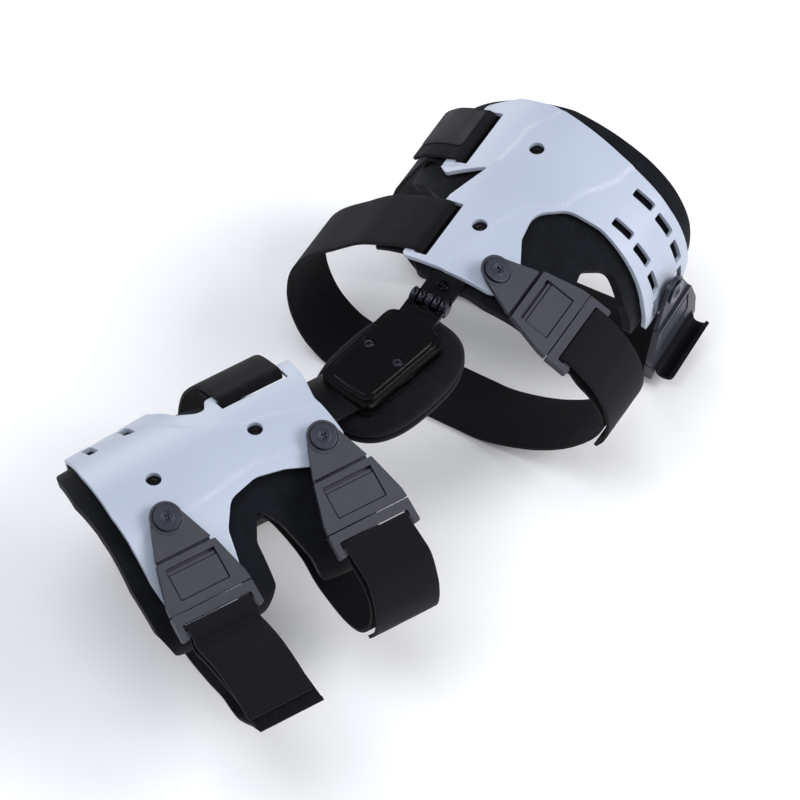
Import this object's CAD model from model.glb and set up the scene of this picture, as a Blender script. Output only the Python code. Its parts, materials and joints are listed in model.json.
import json
import math

import bmesh
import bpy
from mathutils import Matrix, Vector, noise

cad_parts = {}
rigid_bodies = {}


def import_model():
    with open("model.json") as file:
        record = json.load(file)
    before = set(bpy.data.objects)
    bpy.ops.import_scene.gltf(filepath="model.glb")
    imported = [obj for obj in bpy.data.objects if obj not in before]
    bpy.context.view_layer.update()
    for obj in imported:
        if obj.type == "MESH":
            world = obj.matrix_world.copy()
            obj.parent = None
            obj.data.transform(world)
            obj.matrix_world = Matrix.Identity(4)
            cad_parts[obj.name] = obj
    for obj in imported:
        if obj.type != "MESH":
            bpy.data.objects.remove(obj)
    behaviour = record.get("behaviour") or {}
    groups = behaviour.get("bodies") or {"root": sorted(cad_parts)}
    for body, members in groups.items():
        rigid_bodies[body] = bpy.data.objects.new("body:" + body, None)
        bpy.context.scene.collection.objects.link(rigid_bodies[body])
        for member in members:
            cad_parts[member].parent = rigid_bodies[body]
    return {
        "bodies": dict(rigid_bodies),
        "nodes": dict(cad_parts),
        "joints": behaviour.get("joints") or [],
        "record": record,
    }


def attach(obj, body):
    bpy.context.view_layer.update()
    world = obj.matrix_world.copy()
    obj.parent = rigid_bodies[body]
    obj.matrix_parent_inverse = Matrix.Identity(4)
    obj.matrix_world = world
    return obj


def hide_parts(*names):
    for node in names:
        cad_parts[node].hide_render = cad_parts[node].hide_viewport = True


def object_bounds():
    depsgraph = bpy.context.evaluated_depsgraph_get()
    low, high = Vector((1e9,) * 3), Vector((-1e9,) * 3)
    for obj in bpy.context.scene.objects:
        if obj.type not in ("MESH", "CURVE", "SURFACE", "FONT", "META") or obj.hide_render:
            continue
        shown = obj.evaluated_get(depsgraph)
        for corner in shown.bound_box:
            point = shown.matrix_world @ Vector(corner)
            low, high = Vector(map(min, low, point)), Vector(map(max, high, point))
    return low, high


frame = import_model()
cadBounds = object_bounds()
mm = 0.001                      # sizes below are millimetres and degrees, the finished meshes are metres
collection = bpy.context.scene.collection


# Camera: a long lens, so the far straps look hardly smaller than the near ones

shot = {
    "azimuth": -60.1, "elevation": 51.0,
    "distance": 5000.0, "lens": 364.5, "sensor": 36.0,
    "frameWidth": 800, "hingePixel": (381.5, 353.5),   # where the middle of the hinge cover stands in the frame
}


def placeCamera(shot):
    azimuth, elevation = math.radians(shot["azimuth"]), math.radians(shot["elevation"])
    flat = Vector((math.sin(azimuth), -math.cos(azimuth), 0))
    back = flat * math.cos(elevation) + Vector((0, 0, math.sin(elevation)))
    right = Vector((math.cos(azimuth), math.sin(azimuth), 0))
    up = back.cross(right)
    focal = shot["lens"] / shot["sensor"] * shot["frameWidth"]
    across = (shot["hingePixel"][0] - shot["frameWidth"] / 2) / focal
    down = (shot["hingePixel"][1] - shot["frameWidth"] / 2) / focal
    data = bpy.data.cameras.new("camera")
    data.lens, data.sensor_width = shot["lens"], shot["sensor"]
    data.clip_start, data.clip_end = 0.1, 50
    camera = bpy.data.objects.new("camera", data)
    collection.objects.link(camera)
    camera.matrix_world = Matrix((right, up, back)).transposed().to_4x4()
    camera.location = (back - right * across + up * down) * shot["distance"] * mm
    bpy.context.scene.camera = camera


placeCamera(shot)


# Light: one broad soft box in front of the brace, a weaker one over it, and a pale room

light = {
    "room": ("#F2F4FA", 0.62, 0.07), "mirror": (0.5456, 0.3137, 0.777),   # mirror: the camera's direction off a level face
    "front": {"place": (0.9, -2.2, 1.7), "size": 1.6, "power": 62, "colour": "#FFFFFF"},
    "over": {"place": (-0.6, 0.5, 2.6), "size": 2.2, "power": 42, "colour": "#F4F7FF"},
    "rim": {"place": (1.4, 1.6, 0.9), "size": 0.9, "power": 12, "colour": "#FFFFFF"},
    "floor": "#F7F7F8",
}


def linear(code):
    channels = [int(code[k:k + 2], 16) / 255 for k in (1, 3, 5)]
    return (*[c / 12.92 if c < 0.04045 else ((c + 0.055) / 1.055) ** 2.4 for c in channels], 1.0)


def addNode(tree, kind, values=None, links=None):
    made = tree.nodes.new(kind)
    for name, value in (values or {}).items():
        if isinstance(name, int) or name in made.inputs:
            made.inputs[name].default_value = value
        else:
            setattr(made, name, value)
    for name, source in (links or {}).items():
        tree.links.new(source, made.inputs[name])
    return made


def newMaterial(name, colour, roughness, **values):
    material = bpy.data.materials.new(name)
    material.use_nodes = True
    shader = material.node_tree.nodes["Principled BSDF"]
    shader.inputs["Base Color"].default_value = linear(colour)
    shader.inputs["Roughness"].default_value = roughness
    for socket, value in values.items():
        shader.inputs[socket.replace("_", " ")].default_value = value
    return material, material.node_tree, shader


def setLight(light):
    world = bpy.data.worlds.new("room")
    world.use_nodes = True
    background = world.node_tree.nodes["Background"]
    background.inputs["Color"].default_value = linear(light["room"][0])
    # The room is dark where level faces mirror the camera, so black gloss reads black
    tree = world.node_tree
    place = addNode(tree, "ShaderNodeTexCoord")
    towards = addNode(tree, "ShaderNodeVectorMath", {"operation": "DOT_PRODUCT", 1: light["mirror"]}, {0: place.outputs["Generated"]})
    fade = addNode(tree, "ShaderNodeMapRange", {"From Min": 0.62, "From Max": 0.94, "To Min": light["room"][1],
                                                "To Max": light["room"][2], "interpolation_type": "SMOOTHSTEP"},
                   {"Value": towards.outputs["Value"]})
    tree.links.new(fade.outputs["Result"], background.inputs["Strength"])
    bpy.context.scene.world = world
    bpy.context.scene.view_settings.view_transform = "Standard"
    for name in ("front", "over", "rim"):
        data = bpy.data.lights.new(name, "AREA")
        data.size, data.energy = light[name]["size"], light[name]["power"]
        data.color = linear(light[name]["colour"])[:3]
        lamp = bpy.data.objects.new(name, data)
        lamp.location = light[name]["place"]
        lamp.rotation_euler = (-lamp.location).to_track_quat("-Z", "Y").to_euler()
        collection.objects.link(lamp)
    plane = bmesh.new()
    bmesh.ops.create_grid(plane, x_segments=1, y_segments=1, size=6)
    bmesh.ops.translate(plane, verts=plane.verts, vec=(0, 0, cadBounds[0].z))
    mesh = bpy.data.meshes.new("floor")
    plane.to_mesh(mesh)
    floor = bpy.data.objects.new("floor", mesh)
    mesh.materials.append(newMaterial("paintedFloor", light["floor"], 0.8)[0])
    collection.objects.link(floor)


setLight(light)
print("camera, light and floor")


# Finishes

def makeShellPlastic():
    # Injection-moulded polypropylene: satin, faintly mottled, with a fine orange-peel skin
    material, tree, shader = newMaterial("mouldedPolypropylene", "#AAB1C1", 0.36, IOR=1.49)
    place = addNode(tree, "ShaderNodeTexCoord")
    cloud = addNode(tree, "ShaderNodeTexNoise", {"Scale": 14.0, "Detail": 3.0}, {"Vector": place.outputs["Object"]})
    tint = addNode(tree, "ShaderNodeMix", {"data_type": "RGBA", 6: linear("#A3ABBB"), 7: linear("#B0B8C7")},
                   {0: cloud.outputs["Fac"]})
    rough = addNode(tree, "ShaderNodeMapRange", {"To Min": 0.30, "To Max": 0.44}, {"Value": cloud.outputs["Fac"]})
    peel = addNode(tree, "ShaderNodeTexNoise", {"Scale": 1 / (1.2 * mm), "Detail": 2.0}, {"Vector": place.outputs["Object"]})
    bump = addNode(tree, "ShaderNodeBump", {"Strength": 0.06, "Distance": 0.1 * mm}, {"Height": peel.outputs["Fac"]})
    tree.links.new(tint.outputs[2], shader.inputs["Base Color"])
    tree.links.new(rough.outputs["Result"], shader.inputs["Roughness"])
    tree.links.new(bump.outputs["Normal"], shader.inputs["Normal"])
    return material


def makeHardFinish(name, low, high, roughness, grain, strength, **values):
    # Two close tones in a cloud, and a grain of the size that the surface has
    material, tree, shader = newMaterial(name, low, roughness, **values)
    place = addNode(tree, "ShaderNodeTexCoord")
    cloud = addNode(tree, "ShaderNodeTexNoise", {"Scale": 60.0, "Detail": 4.0}, {"Vector": place.outputs["Object"]})
    tint = addNode(tree, "ShaderNodeMix", {"data_type": "RGBA", 6: linear(low), 7: linear(high)}, {0: cloud.outputs["Fac"]})
    rough = addNode(tree, "ShaderNodeMapRange", {"To Min": roughness * 0.8, "To Max": roughness * 1.25},
                    {"Value": cloud.outputs["Fac"]})
    speck = addNode(tree, "ShaderNodeTexNoise", {"Scale": 1 / (grain * mm), "Detail": 2.0}, {"Vector": place.outputs["Object"]})
    bump = addNode(tree, "ShaderNodeBump", {"Strength": strength, "Distance": 0.1 * mm}, {"Height": speck.outputs["Fac"]})
    tree.links.new(tint.outputs[2], shader.inputs["Base Color"])
    tree.links.new(rough.outputs["Result"], shader.inputs["Roughness"])
    tree.links.new(bump.outputs["Normal"], shader.inputs["Normal"])
    return material


def makeCloth(name, low, high, fibre, patch, depth, sheen):
    # Brushed pile: short fibres give a grain, and where the nap is stroked the other way it looks paler
    material, tree, shader = newMaterial(name, low, 0.92, Sheen_Weight=sheen, Sheen_Roughness=0.5, Specular_IOR_Level=0.08)
    place = addNode(tree, "ShaderNodeAttribute", {"attribute_name": "flat"})
    nap = addNode(tree, "ShaderNodeTexNoise", {"Scale": 1 / patch, "Detail": 5.0, "Roughness": 0.7}, {"Vector": place.outputs["Vector"]})
    fibres = addNode(tree, "ShaderNodeTexNoise", {"Scale": 1 / fibre, "Detail": 3.0, "Roughness": 0.8}, {"Vector": place.outputs["Vector"]})
    both = addNode(tree, "ShaderNodeMath", {"operation": "MULTIPLY"}, {0: nap.outputs["Fac"], 1: fibres.outputs["Fac"]})
    spread = addNode(tree, "ShaderNodeMapRange", {"From Min": 0.12, "From Max": 0.42}, {"Value": both.outputs["Value"]})
    tint = addNode(tree, "ShaderNodeMix", {"data_type": "RGBA", 6: linear(low), 7: linear(high)}, {0: spread.outputs["Result"]})
    bump = addNode(tree, "ShaderNodeBump", {"Strength": depth, "Distance": 0.4 * mm}, {"Height": fibres.outputs["Fac"]})
    tree.links.new(tint.outputs[2], shader.inputs["Base Color"])
    tree.links.new(bump.outputs["Normal"], shader.inputs["Normal"])
    return material


def makeWoven(name, low, high, rib, depth):
    # Woven nylon: ribs across the strap, crossed by its warp threads
    material, tree, shader = newMaterial(name, low, 0.8, Sheen_Weight=0.05, Specular_IOR_Level=0.12)
    place = addNode(tree, "ShaderNodeAttribute", {"attribute_name": "flat"})
    parts = addNode(tree, "ShaderNodeSeparateXYZ", {}, {"Vector": place.outputs["Vector"]})
    waves = []
    for axis in ("X", "Y"):
        turn = addNode(tree, "ShaderNodeMath", {"operation": "MULTIPLY", 1: 2 * math.pi / rib}, {0: parts.outputs[axis]})
        waves.append(addNode(tree, "ShaderNodeMath", {"operation": "SINE"}, {0: turn.outputs["Value"]}))
    weave = addNode(tree, "ShaderNodeMath", {"operation": "MULTIPLY"}, {0: waves[0].outputs["Value"], 1: waves[1].outputs["Value"]})
    spread = addNode(tree, "ShaderNodeMapRange", {"From Min": -1.0, "From Max": 1.0}, {"Value": weave.outputs["Value"]})
    tint = addNode(tree, "ShaderNodeMix", {"data_type": "RGBA", 6: linear(low), 7: linear(high)}, {0: spread.outputs["Result"]})
    bump = addNode(tree, "ShaderNodeBump", {"Strength": depth, "Distance": 0.3 * mm}, {"Height": spread.outputs["Result"]})
    tree.links.new(tint.outputs[2], shader.inputs["Base Color"])
    tree.links.new(bump.outputs["Normal"], shader.inputs["Normal"])
    return material


shellPlastic = makeShellPlastic()
buckleNylon = makeHardFinish("glassFilledNylon", "#26272F", "#2E2F3A", 0.42, 0.5, 0.10, IOR=1.53, Specular_IOR_Level=0.35)
glossEnamel = makeHardFinish("glossBlackEnamel", "#060608", "#0A0A0D", 0.13, 0.9, 0.02, Coat_Weight=0.5, Coat_Roughness=0.05)
satinSteel = makeHardFinish("blackOxideSteel", "#0B0B0E", "#121216", 0.28, 0.4, 0.05, Metallic=0.5)
polishedSteel = makeHardFinish("polishedBlackNickel", "#1E1E24", "#2B2B32", 0.14, 0.6, 0.04, Metallic=1.0)
brightSteel = makeHardFinish("brightNickel", "#B4B4BC", "#C6C6CE", 0.12, 0.6, 0.03, Metallic=1.0)
platedSteel = makeHardFinish("zincPlatedScrewSteel", "#33343E", "#41424D", 0.30, 0.4, 0.08, Metallic=0.85)
pileFabric = makeCloth("brushedLoopTricot", "#060608", "#151419", 0.5, 9.0, 0.8, 0.08)
linerFabric = makeCloth("laminatedLiningKnit", "#07080B", "#171920", 0.7, 16.0, 0.5, 0.08)
padFabric = makeCloth("padCoverKnit", "#08080B", "#15161B", 0.6, 12.0, 0.5, 0.08)
strapWeave = makeWoven("wovenNylonWebbing", "#07070A", "#121118", 1.3, 0.5)
hookTape = makeHardFinish("mouldedHookTape", "#0B0C13", "#12131C", 0.6, 0.9, 0.25, Specular_IOR_Level=0.3)
print("finishes")


# The leg's surface: arcs from its outer line, as (radius, degrees of turn)

legs = {
    "thigh": {"bend": 0.0, "shift": -3.0,
              "front": [(135, 30), (60, 100), (110, 50)], "back": [(130, 25), (60, 90), (110, 60)]},
    "calf": {"bend": 27.4, "shift": -6.0,
             "front": [(65, 35), (140, 20), (40, 120)], "back": [(110, 25), (60, 80), (50, 70)]},
}
taper = {"thigh": 0.0, "calf": 0.0012, "start": -100.0}      # how the back narrows towards the ankle, for each mm
stack = {"top": -4.0, "shell": 3.0, "arm": 2.4, "liner": 6.0, "gap": 0.3}
armDepth = stack["shell"] + stack["gap"]
linerDepth = armDepth + stack["arm"] + stack["gap"]


def section(leg, around, lift=0.0):
    side = "front" if around < 0 else "back"
    left, slope, out, height = abs(around), 0.0, 0.0, stack["top"]
    for radius, turn in legs[leg][side]:
        step = min(left / radius, math.radians(turn))
        out += radius * (math.sin(slope + step) - math.sin(slope))
        height -= radius * (math.cos(slope) - math.cos(slope + step))
        slope += step
        left -= step * radius
        if left < 1e-9:
            break
    sign = -1 if around < 0 else 1
    return sign * (out + lift * math.sin(slope)) + legs[leg]["shift"], height + lift * math.cos(slope), sign * slope


def inLeg(leg, x, y, z):
    if y > 0 and x < taper["start"]:
        y *= 1 - taper[leg] * (taper["start"] - x)
    bend = -math.radians(legs[leg]["bend"])
    return Vector((x * math.cos(bend) - y * math.sin(bend), x * math.sin(bend) + y * math.cos(bend), z))


def bendRound(leg, relief=None):
    def place(x, around, lift):
        y, z, slope = section(leg, around, lift + (relief(x, around) if relief else 0.0))
        return inLeg(leg, x, y, z)
    return place


def legFrame(leg, x, around, lift, tilt=None):
    # X runs round to the front and down, Y along the leg, Z out of the surface
    y, z, slope = section(leg, around, lift)
    slope = slope if tilt is None else -math.radians(tilt)
    backward, along = inLeg(leg, 0, 1, 0), inLeg(leg, 1, 0, 0)
    down = -backward * math.cos(slope) + Vector((0, 0, math.sin(slope)))
    matrix = Matrix((down, along, down.cross(along).normalized())).transposed().to_4x4()
    matrix.translation = inLeg(leg, x, y, z)
    return matrix


# Shapes: a flat slab with soft rims, cut into a grid where it is to be bent

def softCorners(rows, steps=10):
    outline = []
    for k, (x, y, radius) in enumerate(rows):
        here = Vector((x, y))
        before = Vector(rows[k - 1][:2]) - here
        after = Vector(rows[(k + 1) % len(rows)][:2]) - here
        half = before.angle(after) / 2
        reach = min(radius / math.tan(half), before.length * 0.45, after.length * 0.45)
        if radius <= 0 or reach < 0.2:
            outline.append(here)
            continue
        start, end = here + before.normalized() * reach, here + after.normalized() * reach
        for step in range(steps + 1):
            t = step / steps
            outline.append(start * (1 - t) ** 2 + here * 2 * t * (1 - t) + end * t ** 2)
    return outline


def circle(radius, x=0.0, y=0.0, sides=40):
    turn = 2 * math.pi / sides
    return [Vector((x + radius * math.cos(k * turn), y + radius * math.sin(k * turn))) for k in range(sides)]


def oblong(x, y, long, wide, corner=1.5, steps=5):
    a, b = long / 2, wide / 2
    return softCorners([(x - a, y - b, corner), (x + a, y - b, corner), (x + a, y + b, corner), (x - a, y + b, corner)], steps)


def cross(size, arm):
    a, b = size / 2, size * arm / 2
    corners = [(a, -b), (a, b), (b, b), (b, a), (-b, a), (-b, b), (-a, b), (-a, -b), (-b, -b), (-b, -a), (b, -a), (b, -b)]
    return [Vector(corner) for corner in corners]


def slab(outline, holes=(), top=0.0, thick=1.0, rim=0.3, segments=2, grid=None):
    bm = bmesh.new()
    for loop in (outline, *holes):
        verts = [bm.verts.new((point[0], point[1], top)) for point in loop]
        for first, last in zip(verts, verts[1:] + verts[:1]):
            bm.edges.new((first, last))
    bmesh.ops.triangle_fill(bm, use_beauty=True, use_dissolve=False, edges=bm.edges[:])
    grown = bmesh.ops.extrude_face_region(bm, geom=bm.faces[:], use_keep_orig=True)
    bmesh.ops.translate(bm, verts=[v for v in grown["geom"] if isinstance(v, bmesh.types.BMVert)], vec=(0, 0, -thick))
    bmesh.ops.recalc_face_normals(bm, faces=bm.faces[:])
    if rim:
        edges = [e for e in bm.edges if abs(e.verts[0].co.z - e.verts[1].co.z) < 1e-4 and e.calc_face_angle(0) > 1.0]
        bmesh.ops.bevel(bm, geom=edges, offset=rim, offset_type="OFFSET", affect="EDGES", segments=segments, profile=0.5,
                        material=-1, clamp_overlap=True)
    if grid:
        for axis, step in enumerate(grid):
            if not step:
                continue
            low, high = min(v.co[axis] for v in bm.verts), max(v.co[axis] for v in bm.verts)
            normal = Vector((axis == 0, axis == 1, 0))
            for k in range(math.floor(low / step) + 1, math.ceil(high / step)):
                geometry = bm.verts[:] + bm.edges[:] + bm.faces[:]
                bmesh.ops.bisect_plane(bm, geom=geometry, dist=1e-4, plane_co=normal * k * step, plane_no=normal)
    flat = bm.verts.layers.float_vector.new("flat")
    for vert in bm.verts:
        vert[flat] = vert.co
    return bm


def shape(bm, place):
    for vert in bm.verts:
        vert.co = place(*vert.co)
    return bm


def together(*parts):
    whole = bmesh.new()
    for part in parts:
        mesh = bpy.data.meshes.new("part")
        part.to_mesh(mesh)
        part.free()
        whole.from_mesh(mesh)
        bpy.data.meshes.remove(mesh)
    return whole


def finishPiece(name, bm, materials, body, nodes=(), flatSides=False):
    bmesh.ops.scale(bm, vec=(mm, mm, mm), verts=bm.verts)
    for face in bm.faces:
        face.smooth = True
    mesh = bpy.data.meshes.new(name)
    bm.to_mesh(mesh)
    bm.free()
    piece = bpy.data.objects.new(name, mesh)
    collection.objects.link(piece)
    for material in materials:
        mesh.materials.append(material)
    if flatSides:                                  # keeps the broad flats plain between their rounded rims
        normals = piece.modifiers.new("normals", "WEIGHTED_NORMAL")
        normals.weight = 100
    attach(piece, body)
    if nodes:
        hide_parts(*nodes)
    return piece


def smoothStep(value):
    value = max(0.0, min(1.0, value))
    return value * value * (3 - 2 * value)


def alongLine(line, x):
    line = sorted(line)
    if x <= line[0][0]:
        return line[0][1]
    for (x0, y0), (x1, y1) in zip(line, line[1:]):
        if x <= x1:
            return y0 + (y1 - y0) * smoothStep((x - x0) / (x1 - x0))
    return line[-1][1]


# Shells: the middle stands proud over the bar, and steps down to thinner borders along two lines

slots = {"length": 48.0, "depth": 9.0, "bar": 7.0}
wells = {"thigh": 123.0, "calf": -96.0, "spacing": 73.0, "radius": 5.0}
windows = {"long": 16.0, "short": 7.0, "corner": 1.4}

thighShell = {
    "low": 80.5, "high": 232.0, "end": -150.0, "slotLow": (110.0, 20.5), "slotHigh": (191.5, 38.5),
    "rows": [(180.0, 2.8), (207.5, 1.8)], "first": -72.0, "step": -21.0, "windows": 4, "raise": 0.8, "stepWidth": 2.4,
    "frontLine": [(80, 4), (88, 4), (128.7, -7), (148, -13.5), (170, -36), (212, -53), (236, -60)],
    "backLine": [(80, 90), (160, 60), (170, 23), (177, 20.5), (207, 18), (230, 7), (236, 2)],
}
calfShell = {
    "top": -49.0, "ankle": -204.0, "slot": (-79.0, 27.0), "backArm": -158.0, "backEnd": 128.0, "frontEnd": -92.0,
    "rows": [(-157.5, 0.0), (-184.5, 0.0)], "first": 59.0, "step": 23.5, "windows": 2, "raise": 0.8, "stepWidth": 2.4,
    "frontLine": [(-206, -34), (-178, -31), (-162, -29), (-109, -22.5), (-93, -24), (-77, -32), (-50, -40)],
    "backLine": [(-206, 90), (-150, 50), (-119, 20), (-94.5, 8), (-57, -1), (-45, -3)],
}


def shellRelief(facts):
    def relief(x, around):
        front = alongLine(facts["frontLine"], x)
        back = alongLine(facts["backLine"], x)
        width = facts["stepWidth"]
        return facts["raise"] * smoothStep((around - front) / width) * smoothStep((back - around) / width)
    return relief


def wellHoles(leg, around):
    step = wells["spacing"] if leg == "thigh" else -wells["spacing"]
    return [circle(wells["radius"], wells[leg] + k * step, around, 32) for k in range(2)]


def windowHoles(facts):
    return [oblong(place - k * drift, facts["first"] + k * facts["step"], windows["short"], windows["long"], windows["corner"])
            for place, drift in facts["rows"] for k in range(facts["windows"])]


def makeThighShell(facts):
    low, high, end, half = facts["low"], facts["high"], facts["end"], slots["length"] / 2
    a, edgeLow = facts["slotLow"]
    b, edgeHigh = facts["slotHigh"]
    lowBar, highBar = edgeLow + slots["depth"] + slots["bar"], edgeHigh + slots["depth"] + slots["bar"]
    outline = softCorners([
        (low, -31, 9), (low + 0.5, 17, 5), (a - half - 4, lowBar, 4), (a + half + 5, lowBar - 3, 4),
        (b - half + 2, 22.5, 1.5), (b - half - 11, highBar - 7, 3), (b - half - 6, highBar, 4),
        (b + half + 5, highBar, 5), (high, 34, 8), (high + 1.5, 10, 20), (high - 9, -44, 30),
        (high - 15, -90, 30), (high - 17, end + 20, 12), (high - 23, end, 12),
        (160, end, 12), (159, -122, 12), (169, -62, 24), (166, -38, 18),
        (150, -21, 16), (128, -24.5, 12), (110, -34, 6), (100, -40, 8),
    ])
    holes = [oblong(place, edge + slots["depth"] / 2, slots["length"], slots["depth"], 1.0)
             for place, edge in (facts["slotLow"], facts["slotHigh"])]
    holes += windowHoles(facts) + wellHoles("thigh", -legs["thigh"]["shift"])
    bm = slab(outline, holes, 0.0, stack["shell"], 0.7, 3, (2.0, 2.0))
    shape(bm, bendRound("thigh", shellRelief(facts)))
    return finishPiece("thighShellSkin", bm, [shellPlastic], "thigh", ["thigh_shell"])


def makeCalfShell(facts):
    top, ankle, half, end = facts["top"], facts["ankle"], slots["length"] / 2, facts["backEnd"]
    slot, edge = facts["slot"]
    bar = edge + slots["depth"] + slots["bar"]
    front = facts["frontEnd"]
    outline = softCorners([
        (top, -30, 8), (top - 3, 2, 16), (top + 2, 24, 8), (top + 3, bar, 5), (slot + half + 4, bar, 3),
        (slot - half - 4, bar, 4), (slot - half - 9, 34, 4), (-118, 35, 10), (-128, 44, 10),
        (-136, 66, 12), (-133, 92, 20), (-130, end, 10), (-186, end, 10), (-190, 100, 20), (-199, 64, 14),
        (ankle + 1, 34, 20), (ankle - 1.5, -10, 30), (ankle + 1, -60, 30), (ankle + 8, front, 8),
        (-152, front, 8), (-146, -72, 10), (-144, -50, 14), (-134, -34, 12), (-113, -28.5, 16),
        (-94, -32, 12), (-78, -38, 8), (-62, -42, 8),
    ])
    holes = [oblong(slot, edge + slots["depth"] / 2, slots["length"], slots["depth"], 1.0),
             oblong(facts["backArm"], end - slots["bar"] - slots["depth"] / 2, slots["length"], slots["depth"], 1.0)]
    holes += windowHoles(facts) + wellHoles("calf", 0.0)
    bm = slab(outline, holes, 0.0, stack["shell"], 0.7, 3, (2.0, 2.0))
    shape(bm, bendRound("calf", shellRelief(facts)))
    return finishPiece("calfShellSkin", bm, [shellPlastic], "calf", ["calf_shell"])


makeThighShell(thighShell)
makeCalfShell(calfShell)
print("shells")


# Liners: foam laminated with knit, its rims rounded and slightly wavy

liner = {"rim": 2.4, "grid": (3.0, 3.0), "wave": 0.5, "wavelength": 26.0}

thighLiner = {"high": 243.0, "end": -152.0}
calfLiner = {"ankle": -216.0, "end": 132.0}


def linerRelief(x, around):
    return -liner["wave"] * (0.5 + 0.5 * noise.noise(Vector((x, around, 0)) / liner["wavelength"]))


def makeLiner(name, leg, outline, node):
    bm = slab(outline, (), -linerDepth, stack["liner"], liner["rim"], 4, liner["grid"])
    shape(bm, bendRound(leg, linerRelief))
    piece = finishPiece(name, bm, [linerFabric], leg, [node])
    return piece


def makeLiners():
    high, end = thighLiner["high"], thighLiner["end"]
    makeLiner("thighLinerPad", "thigh", softCorners([
        (77, -8, 10), (78, 24, 10), (92, 38, 8), (140, 44, 8), (150, 62, 10), (154, 84, 10), (high - 20, 86, 14),
        (high - 8, 44, 14), (high - 2, 0, 30), (high - 5, -60, 40), (high - 11, -115, 20),
        (high - 18, end, 14), (152, end, 14), (148, -112, 14), (154, -84, 14),
        (140, -67, 10), (118, -72, 10), (112, -96, 10), (108, -118, 10), (86, -118, 12), (79, -96, 12), (77, -50, 20),
        (75, -30, 10),
    ]), "thigh_liner")
    ankle, end = calfLiner["ankle"], calfLiner["end"]
    makeLiner("calfLinerPad", "calf", softCorners([
        (-56, -30, 8), (-60, 33, 10), (-104, 38, 8), (-110, 50, 12), (-128, 60, 12), (-130, 80, 14),
        (-127, end, 12), (-190, end, 12), (-196, 100, 20), (ankle + 6, 62, 16),
        (ankle, 20, 20), (ankle + 2, -60, 30), (ankle + 7, -94, 16), (ankle + 19, -128, 14), (-136, -128, 14),
        (-126, -100, 12), (-128, -66, 10), (-119, -45, 10), (-108, -64, 10), (-98, -93, 14), (-93, -122, 12),
        (-70, -132, 12), (-54, -118, 14), (-48, -80, 14), (-50, -45, 12),
    ]), "calf_liner")


makeLiners()
print("liners")


# Hinge

hinge = {
    "length": 67.0, "wideThigh": 41.0, "wideCalf": 38.0, "turn": -11.0, "corner": 8.0,
    "cover": 3.5, "base": 3.0, "baseStep": 2.0, "back": 2.0, "backFace": -12.9,
    "screwRadius": 3.2, "screwSpacing": 23.5, "screwPlace": 1.5, "panel": 2.6, "panelRise": 1.0,
}
hingeTurn = Matrix.Rotation(math.radians(hinge["turn"]), 4, "Z")


def coverOutline(step, corner):
    a = hinge["length"] / 2 + step
    b, c = hinge["wideThigh"] / 2 + step, hinge["wideCalf"] / 2 + step
    return softCorners([(-a, -c, corner), (-a - 1.5, 0, 60), (-a, c, corner), (a, b, corner), (a + 3, 0, 60), (a, -b, corner)], 12)


def crossScrew(radius, top, height, recess, matrix=None):
    # A head with a cross recess: a pierced disc over a plain one
    head = slab(circle(radius), [cross(recess, 0.3)], top, height * 0.6, min(0.5, radius * 0.18), 3)
    under = slab(circle(radius * 0.97), (), top - height * 0.6, height * 0.4, 0.05, 1)
    whole = together(head, under)
    whole.transform(matrix or Matrix.Identity(4))
    return whole


def makeHinge():
    spots = [(hinge["screwPlace"], side * hinge["screwSpacing"] / 2) for side in (1, -1)]
    wide = [circle(hinge["screwRadius"] + 0.5, x, y) for x, y in spots]
    rise = hinge["panelRise"]
    skirt = slab(coverOutline(0, hinge["corner"]), wide, -rise, hinge["cover"] - rise, 0.8, 3)
    panel = slab(coverOutline(-hinge["panel"], hinge["corner"] - 1), wide, 0.0, rise + 0.4, 0.55, 3)
    cover = together(skirt, panel)
    cover.transform(hingeTurn)
    finishPiece("hingeCoverCap", cover, [glossEnamel], "hinge", ["hinge_cover"], True)
    for side, (x, y) in zip(("Back", "Front"), spots):
        spot = hingeTurn @ Matrix.Translation((x, y, 0)) @ Matrix.Rotation(0.4, 4, "Z")
        screw = crossScrew(hinge["screwRadius"], -0.35, hinge["cover"] - 0.6, 3.4, spot)
        finishPiece("hingeScrew" + side, screw, [platedSteel], "hinge", ["hinge_screw_" + side.lower()], True)
    back = slab(coverOutline(hinge["baseStep"], hinge["corner"] + 1), (), hinge["backFace"], hinge["back"], 0.5, 3)
    back.transform(hingeTurn)
    finishPiece("hingeBackPlate", back, [satinSteel], "hinge", ["hinge_back"], True)


knuckle = {"place": 55.0, "depth": -6.0, "radius": 6.0, "length": 26.0, "shift": -3.0, "rings": 5, "gap": 0.5, "tab": 23.0}


def knuckleRing(start, end):
    # One turned ring: a collar at each end with a waist between, and rounded rims
    length, radius = end - start, knuckle["radius"]
    half = length / 2
    rows = [(0.0, half), (radius - 0.7, half), (radius, half - 0.6), (radius, half - 1.3), (radius - 0.45, half - 1.6)]
    rows += [(r, -z) for r, z in reversed(rows)]
    bm = bmesh.new()
    verts = [bm.verts.new((r, 0, z)) for r, z in rows]
    edges = [bm.edges.new(pair) for pair in zip(verts, verts[1:])]
    bmesh.ops.spin(bm, geom=verts + edges, cent=(0, 0, 0), axis=(0, 0, 1), dvec=(0, 0, 0), angle=2 * math.pi, steps=36, use_merge=True)
    bmesh.ops.remove_doubles(bm, verts=bm.verts, dist=1e-3)
    bmesh.ops.recalc_face_normals(bm, faces=bm.faces[:])
    sides = [e for e in bm.edges if e.is_manifold and e.calc_face_angle(0) > 0.35]
    bmesh.ops.bevel(bm, geom=sides, offset=0.12, offset_type="OFFSET", affect="EDGES", segments=1, profile=0.5, material=-1)
    bm.transform(Matrix.Translation((knuckle["place"], (start + end) / 2, knuckle["depth"])) @ Matrix.Rotation(math.pi / 2, 4, "X"))
    return bm


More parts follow.
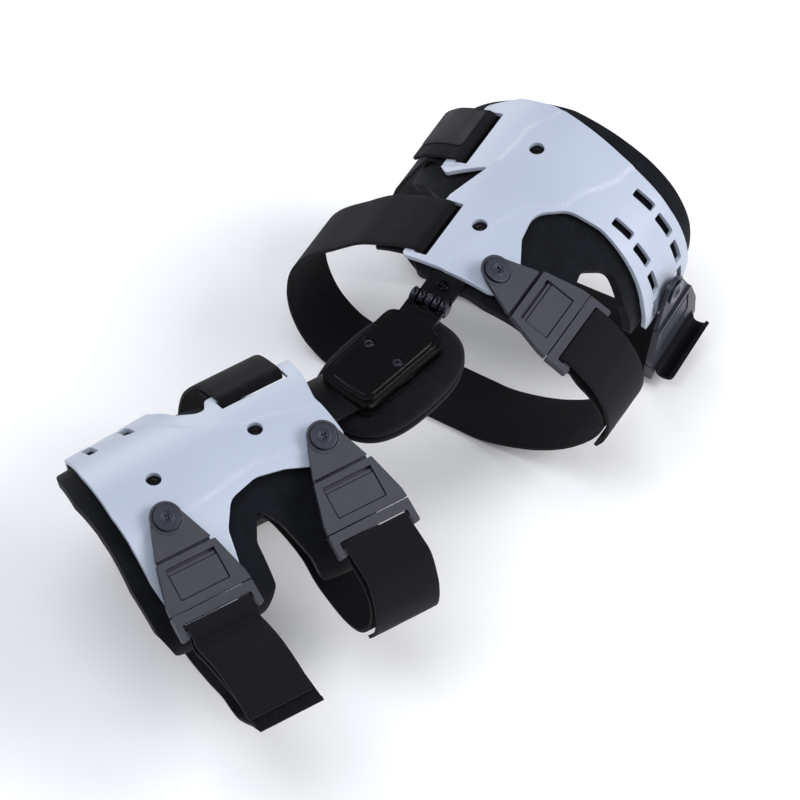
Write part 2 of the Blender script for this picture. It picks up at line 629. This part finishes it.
def ringSpan(k):
    pitch = knuckle["length"] / knuckle["rings"]
    start = knuckle["shift"] - knuckle["length"] / 2 + k * pitch
    return start + knuckle["gap"] / 2, start + pitch - knuckle["gap"] / 2


def makeKnuckle():
    top = -hinge["cover"] - stack["gap"]
    neck = knuckle["place"] - knuckle["radius"] - 1.6
    base = slab(coverOutline(hinge["baseStep"], hinge["corner"] + 1), (), top, hinge["base"], 0.6, 3)
    base.transform(hingeTurn)
    root = hinge["length"] / 2 - 5.5
    bridge = slab(oblong((root + neck) / 2, knuckle["shift"], neck - root, knuckle["length"] - 0.6, 0.6), (), top - 0.1, 2.7, 0.35)
    strip = slab(oblong(neck - 3, knuckle["shift"], 2.2, knuckle["length"] - 3, 0.6), (), top + 0.5, 1.2, 0.35)
    parts = [base, bridge, strip]
    for k in range(0, knuckle["rings"], 2):
        start, end = ringSpan(k)
        parts.append(slab(oblong((neck - 1 + knuckle["place"]) / 2, (start + end) / 2, knuckle["place"] - neck + 1, end - start - 0.2, 0.3), (), top - 0.1, 2.6, 0.3))
    finishPiece("hingeBasePlate", together(*parts), [satinSteel], "hinge", ["hinge_base", "hinge_pivot"], True)
    rings = [knuckleRing(*ringSpan(k)) for k in range(0, knuckle["rings"], 2)]
    finishPiece("knuckleRingsLower", together(*rings), [polishedSteel], "hinge")
    grub = slab(circle(1.7, knuckle["place"], knuckle["shift"], 24), (), knuckle["depth"] + knuckle["radius"] + 0.5, 1.5, 0.6, 4)
    finishPiece("knuckleSetScrew", grub, [brightSteel], "hinge")
    tabTop = stack["top"] - stack["shell"] - stack["gap"]
    start = knuckle["place"] + knuckle["radius"] + 1.6
    low = thighShell["low"]
    rows = [(start, -knuckle["tab"] / 2, 2), (low - 2, -knuckle["tab"] / 2, 2), (low + 4, -8, 3), (low + 4, 8, 3),
            (low - 2, knuckle["tab"] / 2, 2), (start, knuckle["tab"] / 2, 2)]
    outline = [corner + Vector((0, knuckle["shift"])) for corner in softCorners(rows)]
    parts = [slab(outline, (), tabTop - 0.1, 2.2, 0.5, 3)]
    for k in range(1, knuckle["rings"], 2):
        first, last = ringSpan(k)
        parts.append(slab(oblong((start + 1 + knuckle["place"]) / 2, (first + last) / 2, start + 1 - knuckle["place"], last - first - 0.2, 0.3), (), tabTop - 0.1, 2.0, 0.3))
    tail, half = wells["thigh"] + wells["spacing"] + 14, 11.0
    bar = slab(softCorners([(low - 4, -half, 0), (tail, -half, 8), (tail, half, 8), (low - 4, half, 0)]), (), -armDepth, stack["arm"], 0.3, 2, (0, 3.0))
    parts.append(shape(bar, bendRound("thigh")))
    finishPiece("thighArmBar", together(*parts), [satinSteel], "thigh", ["thigh_arm"], True)
    rings = [knuckleRing(*ringSpan(k)) for k in range(1, knuckle["rings"], 2)]
    finishPiece("knuckleRingsUpper", together(*rings), [polishedSteel], "thigh")
    spot = Matrix.Translation((71, knuckle["shift"], 0)) @ Matrix.Rotation(0.3, 4, "Z")
    screw = crossScrew(3.6, tabTop + 1.6, 1.3, 3.2, spot)
    finishPiece("adjusterScrewHead", screw, [polishedSteel], "thigh", ["adjuster_screw"], True)


def makeCalfArm():
    half, tail = 18.5, 11.0
    tailEnd = wells["calf"] - wells["spacing"] - 14
    flatEnd = calfShell["top"] - 12
    outline = softCorners([(18, -half + 5, 12), (18, half + 5, 12), (-20, half, 20), (flatEnd, half, 6), (flatEnd - 12, tail, 6),
                           (tailEnd, tail, 8), (tailEnd, -tail, 8), (flatEnd - 12, -tail, 6), (flatEnd, -half, 6), (-20, -half, 20)])
    bar = slab(outline, (), -armDepth, stack["arm"], 0.35, 2, (0, 3.0))
    finishPiece("calfArmBar", shape(bar, bendRound("calf")), [satinSteel], "calf", ["calf_arm"])


def makeWellScrews():
    for leg in ("thigh", "calf"):
        step = wells["spacing"] if leg == "thigh" else -wells["spacing"]
        around = -legs[leg]["shift"] if leg == "thigh" else 0.0
        for k, name in enumerate(("near", "far")):
            matrix = legFrame(leg, wells[leg] + k * step, around, 0.0)
            screw = crossScrew(wells["radius"] - 0.7, -1.5, 1.6, 3.6, matrix @ Matrix.Rotation(0.5 + k, 4, "Z"))
            finishPiece(f"{leg}ArmScrew{name.title()}", screw, [satinSteel], leg, [f"{leg}_arm_screw_{name}"], True)


makeHinge()
makeKnuckle()
makeCalfArm()
makeWellScrews()
print("hinge, knuckle and arms")


# Pad behind the hinge: a foam cushion in a knit cover, pulled in along its welted seam

pad = {"length": 104.0, "width": 72.0, "thick": 21.0, "place": (4, -3), "seam": 1.1, "wrinkle": 0.35}


def makePad():
    bm = bmesh.new()
    bmesh.ops.create_cube(bm, size=2.0)
    bmesh.ops.subdivide_edges(bm, edges=bm.edges[:], cuts=31, use_grid_fill=True)
    top = hinge["backFace"] - hinge["back"] - stack["gap"]
    middle = top - pad["thick"] / 2
    flat = bm.verts.layers.float_vector.new("flat")
    a, b, c = pad["length"] / 2, pad["width"] / 2, pad["thick"] / 2
    for vert in bm.verts:
        x, y, z = vert.co
        wide = (abs(x) ** 2.6 + abs(y) ** 2.6) ** (1 / 2.6) or 1e-6
        square = max(abs(x), abs(y)) / wide          # carries the square's border to a rounded one
        x, y = x * square, y * square
        reach = (abs(x) ** 2.6 + abs(y) ** 2.6) ** (1 / 2.6)
        whole = (reach ** 4.0 + abs(z) ** 4.0) ** (1 / 4.0) or 1e-6
        edge = max(reach, abs(z)) / whole
        x, y, z = x * edge, y * edge, z * edge
        pinch = 1 - pad["seam"] / b * math.exp(-(z * c / 0.9) ** 2) * smoothStep((reach - 0.7) / 0.3)
        ripple = pad["wrinkle"] * noise.noise(Vector((x * a, y * b, z * c)) / 9.0)
        vert.co = (x * a * pinch, y * b * pinch, z * c + ripple * (1 - abs(z)))
        vert[flat] = vert.co
    bm.transform(Matrix.Translation((*pad["place"], middle)) @ hingeTurn)
    piece = finishPiece("condylePadCushion", bm, [padFabric], "hinge", ["condyle_pad"])


makePad()
print("pad")


# Buckles: X runs away from the pivot, Y across, Z out

buckle = {
    "lift": 3.8, "thick": 4.0, "length": 73.0, "neck": 11.0, "neckTop": 2.6, "neckEnd": 21.8, "ledge": 24.0, "halfLedge": 20.8,
    "half": 28.7, "lidTop": 4.5, "latchStart": 28.5, "latchLong": 21.5, "latchWide": 35.0, "line": 56.0, "groove": 0.8,
    "bar": 5.5, "opening": 4.4, "rail": 4.2, "head": 8.5, "headTall": 2.4, "boss": 11.2,
}
strap = {"width": 45.5, "thick": 2.2, "gap": 0.3, "tab": {"long": 34.0, "wide": 33.0, "shift": 4.5, "thick": 0.9}}

buckleSpots = {
    "thigh_buckle_lower": ("thigh", 93.6, -24.2, 26.0, 0.0),
    "thigh_buckle_upper": ("thigh", 185.0, -128.0, 96.0, 10.0),
    "calf_buckle_upper": ("calf", -64.2, -26.0, 27.0, 0.0),
    "calf_buckle_lower": ("calf", -178.1, -27.6, 27.0, 0.0),
}


def camelName(name):
    words = name.split("_")
    return words[0] + "".join(word.title() for word in words[1:])


def makeBuckle(node, leg, x, around, tilt, yaw):
    matrix = legFrame(leg, x, around, buckle["lift"], tilt) @ Matrix.Rotation(math.radians(yaw), 4, "Z")
    ledge, half, halfLedge, line, end = (buckle[key] for key in ("ledge", "half", "halfLedge", "line", "length"))
    neckEnd, neckTop, lidTop, rail = (buckle[key] for key in ("neckEnd", "neckTop", "lidTop", "rail"))
    bar = end - buckle["bar"]
    opening = bar - buckle["opening"]
    neckRows = [(-9.6, -5, 6.5), (-9.6, 5, 6.5), (0, buckle["neck"], 8), (neckEnd, halfLedge - 1.2, 0.4),
                (neckEnd, -halfLedge + 1.2, 0.4), (0, -buckle["neck"], 8)]
    neck = slab(softCorners(neckRows), (), neckTop, neckTop, 0.5, 3)
    boss = slab(circle(buckle["boss"] - 0.4), [circle(buckle["head"] + 0.5)], neckTop + 0.5, 1.0, 0.4, 3)
    lidRows = [(ledge, -halfLedge, 1.2), (ledge, halfLedge, 1.2), (ledge + 14, half - 4.0, 14), (line - 6, half - 0.6, 10), (line, half, 0.6),
               (line, -half, 0.6), (line - 6, -half + 0.6, 10), (ledge + 14, -half + 4.0, 14)]
    latchMiddle = buckle["latchStart"] + buckle["latchLong"] / 2
    window = oblong(latchMiddle, 0, buckle["latchLong"], buckle["latchWide"], 0.8)
    lid = slab(softCorners(lidRows), [window], lidTop, 3.4, 0.55, 3)
    under = slab(softCorners([(x, y * 0.985, r) for x, y, r in lidRows]), [window], 1.4, 1.6, 0.3, 2)
    floor = slab(oblong((neckEnd - 3 + line) / 2, 0, line - neckEnd + 3, buckle["latchWide"] + 3, 2), (), 0.4, 1.0, 0.2, 1)
    web = slab(oblong(ledge, 0, 7, 2 * halfLedge - 3.5, 0.6), (), 0.4, 1.0, 0.2, 1)
    start = line + buckle["groove"]
    frameRows = [(start, -half, 0.6), (start, half, 0.6), (end, half + 0.3, 3.4), (end, half - rail, 1.2), (opening, half - rail, 1.6),
                 (opening, -half + rail, 1.6), (end, -half + rail, 1.2), (end, -half - 0.3, 3.4)]
    frame = slab(softCorners(frameRows), (), lidTop - 0.2, 5.0, 0.8, 3)
    endBar = slab(oblong((bar + end - 0.6) / 2, 0, end - 0.6 - bar, 2 * half - 4, 1.2), (), buckle["thick"], buckle["thick"], 0.9, 3)
    latchEnd = buckle["latchStart"] + buckle["latchLong"] - 0.7
    latchNear = buckle["latchStart"] + 4.6
    latch = slab(oblong((latchNear + latchEnd) / 2, 0, latchEnd - latchNear, buckle["latchWide"] - 1.5, 0.7), (), lidTop - 0.6, 1.9, 0.3, 2)
    grip = slab(oblong(latchNear - 1.5, 0, 1.9, buckle["latchWide"] - 1.5, 0.5), (), lidTop - 1.4, 1.6, 0.3, 2)
    latch = together(latch, grip)
    body = together(neck, boss, lid, under, floor, web, frame, endBar)
    body.transform(matrix)
    latch.transform(matrix)
    name = camelName(node)
    finishPiece(name + "Body", body, [buckleNylon], leg, [node], True)
    finishPiece(name + "LatchPlate", latch, [buckleNylon], leg, [node + "_latch"], True)
    top = 2.6 + buckle["headTall"]
    head = crossScrew(buckle["head"], top, buckle["headTall"], 4.4, Matrix.Identity(4))
    ring = slab(circle(4.4), [circle(3.4)], top + 0.35, 0.6, 0.15, 2)
    shank = slab(circle(5.2), (), -0.1, buckle["lift"] - 2.2, 0.3, 2)
    screw = together(head, ring, shank)
    screw.transform(matrix @ Matrix.Rotation(0.6, 4, "Z"))
    finishPiece(name + "PivotScrew", screw, [platedSteel], leg, [node + "_screw"], True)
    return matrix


buckleFrames = {node: makeBuckle(node, *spot) for node, spot in buckleSpots.items()}
print("buckles")


# Straps: flat webbing bent along a path in the leg's section

outerLift = strap["thick"] / 2 + strap["gap"]
innerLift = -stack["shell"] - outerLift
onTable = -152.0 + strap["thick"] / 2


def smoothPath(rows, step=1.5):
    points = [Vector(row) for row in rows]
    padded = [points[0] * 2 - points[1], *points, points[-1] * 2 - points[-2]]
    path = []
    for a, b, c, d in zip(padded, padded[1:], padded[2:], padded[3:]):
        pieces = max(1, round((c - b).length / step))
        for k in range(pieces):
            t = k / pieces
            path.append(0.5 * (2 * b + (c - a) * t + (2 * a - 5 * b + 4 * c - d) * t * t + (3 * b - a - 3 * c + d) * t ** 3))
    path.append(points[-1])
    return path


def makeStrap(name, leg, rows, node, tab=None):
    # rows: backward, height, place along the leg, then how the width leans backward and up
    path = smoothPath(rows)
    lengths = [0.0]
    for first, last in zip(path, path[1:]):
        lengths.append(lengths[-1] + (Vector(last[:2]) - Vector(first[:2])).length)
    total, wide = lengths[-1], strap["width"]
    bm = slab(oblong(0, total / 2, wide, total, 1.5, 3), (), strap["thick"] / 2, strap["thick"], 0.8, 3, (6.0, 1.5))
    for face in bm.faces:
        face.material_index = 1 if face.normal.z < -0.5 else 0
    if tab:
        patch = slab(oblong(tab["shift"], tab["long"] / 2 + 1, tab["wide"], tab["long"], 3.0, 5), (),
                     -strap["thick"] / 2 + 0.1, tab["thick"], 0.4, 3, (6.0, 1.5))
        for face in patch.faces:
            face.material_index = 2
        bm = together(bm, patch)

    def along(x, distance, lift):
        low, high = 0, len(path) - 2
        while low < high:
            k = (low + high + 1) // 2
            low, high = (k, high) if lengths[k] <= distance else (low, k - 1)
        k = low
        t = max(0.0, min(1.0, (distance - lengths[k]) / (lengths[k + 1] - lengths[k] or 1e-6)))
        here = path[k].lerp(path[k + 1], t)
        first = path[max(k - 1, 0)].lerp(path[k], t)
        last = path[k + 1].lerp(path[min(k + 2, len(path) - 1)], t)
        run = Vector((last[0] - first[0], last[1] - first[1])).normalized()
        lift += 0.12 * noise.noise(Vector((x, distance, 0)) / 7.0)
        return inLeg(leg, here[2] + x, here[0] - run.y * lift + x * here[3], here[1] + run.x * lift + x * here[4])

    shape(bm, along)
    bmesh.ops.recalc_face_normals(bm, faces=bm.faces[:])
    print(name, "length", round(total), "mm")
    return finishPiece(name, bm, [pileFabric, strapWeave, hookTape], leg, [node])


def onLeg(leg, rows, middle):
    return [(*section(leg, around, lift)[:2], middle, 0.0, 0.0) for around, lift in rows]


def barTurn(leg, edge, middle):
    near, far = edge + slots["depth"], edge + slots["depth"] + slots["bar"]
    rows = [(far, innerLift), (near - 1.0, innerLift), (near - outerLift - 1.0, -stack["shell"] / 2),
            (near - 1.0, outerLift), (far, outerLift)]
    return onLeg(leg, rows, middle)


def drifting(rows, start, end):
    last = len(rows) - 1
    return [(y, z, start + (end - start) * k / last, 0.0, 0.0) for k, (y, z) in enumerate(rows)]


def onBuckle(node, rows):
    leg, matrix = buckleSpots[node][0], buckleFrames[node]
    unbend = Matrix((inLeg(leg, 1, 0, 0), inLeg(leg, 0, 1, 0), (0, 0, 1))).to_4x4()
    across = unbend @ matrix.to_3x3().col[1]
    placed = []
    for x, z in rows:
        spot = unbend @ (matrix @ Vector((buckle["length"] + x, 0, z)))
        placed.append((spot.y, spot.z, spot.x, across.y / across.x, across.z / across.x))
    return placed


def buckleTurn(node):
    bar, over = buckle["bar"], buckle["thick"] + outerLift
    return onBuckle(node, [(0, -outerLift), (-bar - 1.3, -outerLift), (-bar - outerLift - 1.0, buckle["thick"] / 2),
                           (-bar - 1.3, over), (0, over)])


def makeStraps():
    table, node = onTable, "thigh_buckle_lower"
    slot, edge = thighShell["slotLow"]
    place = buckleSpots[node][1]
    rows = onLeg("thigh", [(62, -3.4), (50, -3.9)], slot) + barTurn("thigh", edge, slot)
    rows += onLeg("thigh", [(48, 1.0), (58, 0.3)], slot)
    rows += drifting([(68, -25), (85, -40), (103, -57), (113, -73), (117, -92), (115, -113), (106, -133), (91, -146.5),
                      (77, table + 0.4), (66, table), (30, table), (-8, table), (-30, -149), (-60, -138),
                      (-86, -121), (-105, -101), (-115.5, -83), (-117, -68), (-109, -53)], slot, place)
    rows += onBuckle(node, [(10.6, -6.6)]) + buckleTurn(node) + onBuckle(node, [(10.3, 3.2)])
    rows += drifting([(-113, -46), (-119.5, -60), (-121.5, -74), (-119, -88), (-112.5, -99)], place, place + 1)
    makeStrap("thighStrapLowerWebbing", "thigh", rows, "thigh_strap_lower")

    node = "thigh_buckle_upper"
    slot, edge = thighShell["slotHigh"]
    rise = onBuckle(node, [(4.0, -2.6)])
    place = rise[0][2]
    rows = onLeg("thigh", [(82, 3.0), (70, 3.0), (60, 2.2)], slot) + barTurn("thigh", edge, slot)[::-1]
    rows += onLeg("thigh", [(62, -3.6), (72, -1.2)], slot)
    rows += drifting([(81, -56), (88, -72), (92, -94), (88, -118), (76, -138), (64, -148),
                      (53, table + 0.3), (42, table), (5, table), (-32, table)], slot, place)
    rows += [(-60, -150.0, place, 0.0, 0.02), (-84, -147.4, place, 0.0, 0.08)]
    rows += rise + buckleTurn(node)[:-1]
    rows += onBuckle(node, [(-3.8, 5.5), (-0.8, 7.4), (-0.6, 10.8), (-3.0, 15.0), (-8.8, 17.2)])
    makeStrap("thighStrapUpperWebbing", "thigh", rows, "thigh_strap_upper", strap["tab"])

    node = "calf_buckle_upper"
    slot, edge = calfShell["slot"]
    place = buckleSpots[node][1]
    rows = onLeg("calf", [(62, -2.0), (54, -3.6)], slot) + barTurn("calf", edge, slot)
    rows += onLeg("calf", [(52, 1.6), (62, 1.6)], slot)
    rows += drifting([(63, -33), (73, -52), (79, -76), (80, -102), (73, -127), (60, -144),
                      (50, -149.6), (42, table), (34, table + 0.1), (26, -146), (15, -127), (2, -104), (-11, -88), (-30, -84),
                      (-52, -86), (-66, -94.5), (-82, -98.5), (-98, -99.5), (-112, -95), (-121, -85), (-124.5, -74),
                      (-123, -60)], slot, place)
    rows += onBuckle(node, [(21.3, -1.8), (10.1, -1.8)]) + buckleTurn(node) + onBuckle(node, [(11.8, 8.0), (21.7, 8.5)])
    rows += drifting([(-128, -56), (-130.5, -68), (-129, -81), (-122, -92)], place, place - 1)
    makeStrap("calfStrapUpperWebbing", "calf", rows, "calf_strap_upper")

    node = "calf_buckle_lower"
    slot, edge = calfShell["backArm"], calfShell["backEnd"] - slots["bar"] - slots["depth"]
    place = buckleSpots[node][1]
    rows = onLeg("calf", [(136, -4.2), (132, -4.3)], slot) + barTurn("calf", edge, slot) + onLeg("calf", [(134, 1.6)], slot)
    rows += drifting([(70, -96), (58, -99), (40, -100), (10, -100), (-25, -97), (-55, -94), (-80, -91.5), (-103, -86),
                      (-120, -79.5), (-140, -77), (-160, -62), (-170.5, -54), (-170, -51.8), (-152, -46),
                      (-132, -42.5)], slot, place)
    rows += onBuckle(node, [(17.8, 3.9), (7.5, -4.6)]) + buckleTurn(node) + onBuckle(node, [(6.1, 2.5), (15.9, 9.7)])
    rows += drifting([(-132, -37.2), (-150, -40.5), (-166, -46.5)], place, place)
    makeStrap("calfStrapLowerWebbing", "calf", rows, "calf_strap_lower")


makeStraps()
print("straps")


for name, node in frame["nodes"].items():
    if not node.hide_render:
        finish = satinSteel if name == "knuckle_pin" else platedSteel
        node.data.materials.clear()
        node.data.materials.append(finish)
        print("carried over", name)
